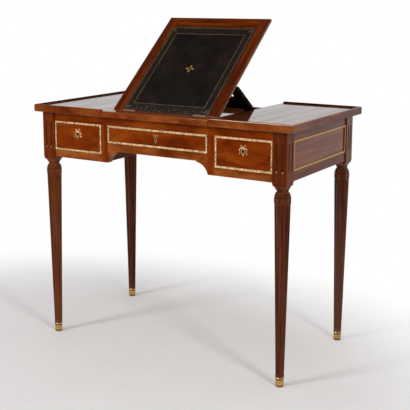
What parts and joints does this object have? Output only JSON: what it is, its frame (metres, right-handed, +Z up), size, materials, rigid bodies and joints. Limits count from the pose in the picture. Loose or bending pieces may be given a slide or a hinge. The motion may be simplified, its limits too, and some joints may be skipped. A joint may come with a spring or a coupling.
{
  "type": "reading table",
  "caption": "Reading and writing table on tapering fluted legs, with a kneehole, drawers framed in brass and a leather-lined slope that rises on a folding prop.",
  "frame": {"origin": "floor level under the middle of the table top", "axes": "+Z up, -Y towards the sitter, +X to the sitter's right"},
  "size_m": [0.9, 0.48, 1.0144],
  "materials": {
    "mahogany": "polished red-brown mahogany",
    "oak": "plain oak of the drawer linings and inner boards",
    "brass": "gilt brass, worn pale",
    "leather": "near-black tooled leather, worn"
  },
  "bodies": {
    "carcass": {"arch_rail": "mahogany", "back_panel": "mahogany", "bottom_rails": "mahogany", "drawer_guides": "oak", "dust_boards": "oak", "foot_caps": "brass", "front_strip": "mahogany", "hinge_fixed": "brass", "hinge_pins": "brass", "leaf_left": "mahogany", "leaf_right": "mahogany", "leg_back_left": "mahogany", "leg_back_right": "mahogany", "leg_front_left": "mahogany", "leg_front_right": "mahogany", "lip_left": "mahogany", "lip_right": "mahogany", "partition_left": "mahogany", "partition_right": "mahogany", "prop_racks": "brass", "side_fillets": "brass", "side_panel_left": "mahogany", "side_panel_right": "mahogany", "stile_left": "mahogany", "stile_right": "mahogany", "top_rail": "mahogany", "well_floor": "mahogany"},
    "drawer_centre": {"drawer_centre_back": "oak", "drawer_centre_bottom": "oak", "drawer_centre_escutcheon": "brass", "drawer_centre_front": "mahogany", "drawer_centre_lock": "brass", "drawer_centre_moulding": "brass", "drawer_centre_sides": "oak"},
    "drawer_left": {"drawer_left_back": "oak", "drawer_left_bottom": "oak", "drawer_left_escutcheon": "brass", "drawer_left_front": "mahogany", "drawer_left_lock": "brass", "drawer_left_moulding": "brass", "drawer_left_sides": "oak"},
    "drawer_right": {"drawer_right_back": "oak", "drawer_right_bottom": "oak", "drawer_right_escutcheon": "brass", "drawer_right_front": "mahogany", "drawer_right_lock": "brass", "drawer_right_moulding": "brass", "drawer_right_sides": "oak"},
    "slope": {"hinge_moving": "brass", "prop_lugs": "brass", "slope_ground": "oak", "slope_leather": "leather", "slope_rail_front": "oak", "slope_rail_left": "mahogany", "slope_rail_right": "mahogany", "slope_rail_top": "mahogany"},
    "prop": {"prop_rail_foot": "mahogany", "prop_rail_head": "mahogany", "prop_stile_left": "mahogany", "prop_stile_right": "mahogany"}
  },
  "joints": [
    {"name": "slope_tilt", "type": "hinge", "parent": "carcass", "child": "slope", "pos_m": [0, -0.18, 0.745], "axis": [1, 0, 0], "range_deg": [-40, 0]},
    {"name": "prop_fold", "type": "hinge", "parent": "slope", "child": "prop", "pos_m": [0, -0.05765, 0.81699], "axis": [1, 0, 0], "range_deg": [0, 77]},
    {"name": "drawer_left_slide", "type": "slide", "parent": "carcass", "child": "drawer_left", "axis": [0, -1, 0], "range_m": [0, 0.28]},
    {"name": "drawer_centre_slide", "type": "slide", "parent": "carcass", "child": "drawer_centre", "axis": [0, -1, 0], "range_m": [0, 0.28]},
    {"name": "drawer_right_slide", "type": "slide", "parent": "carcass", "child": "drawer_right", "axis": [0, -1, 0], "range_m": [0, 0.28]}
  ],
  "couplings": [
    {"joint": "prop_fold", "follows": "slope_tilt", "ratio": -1.925}
  ]
}
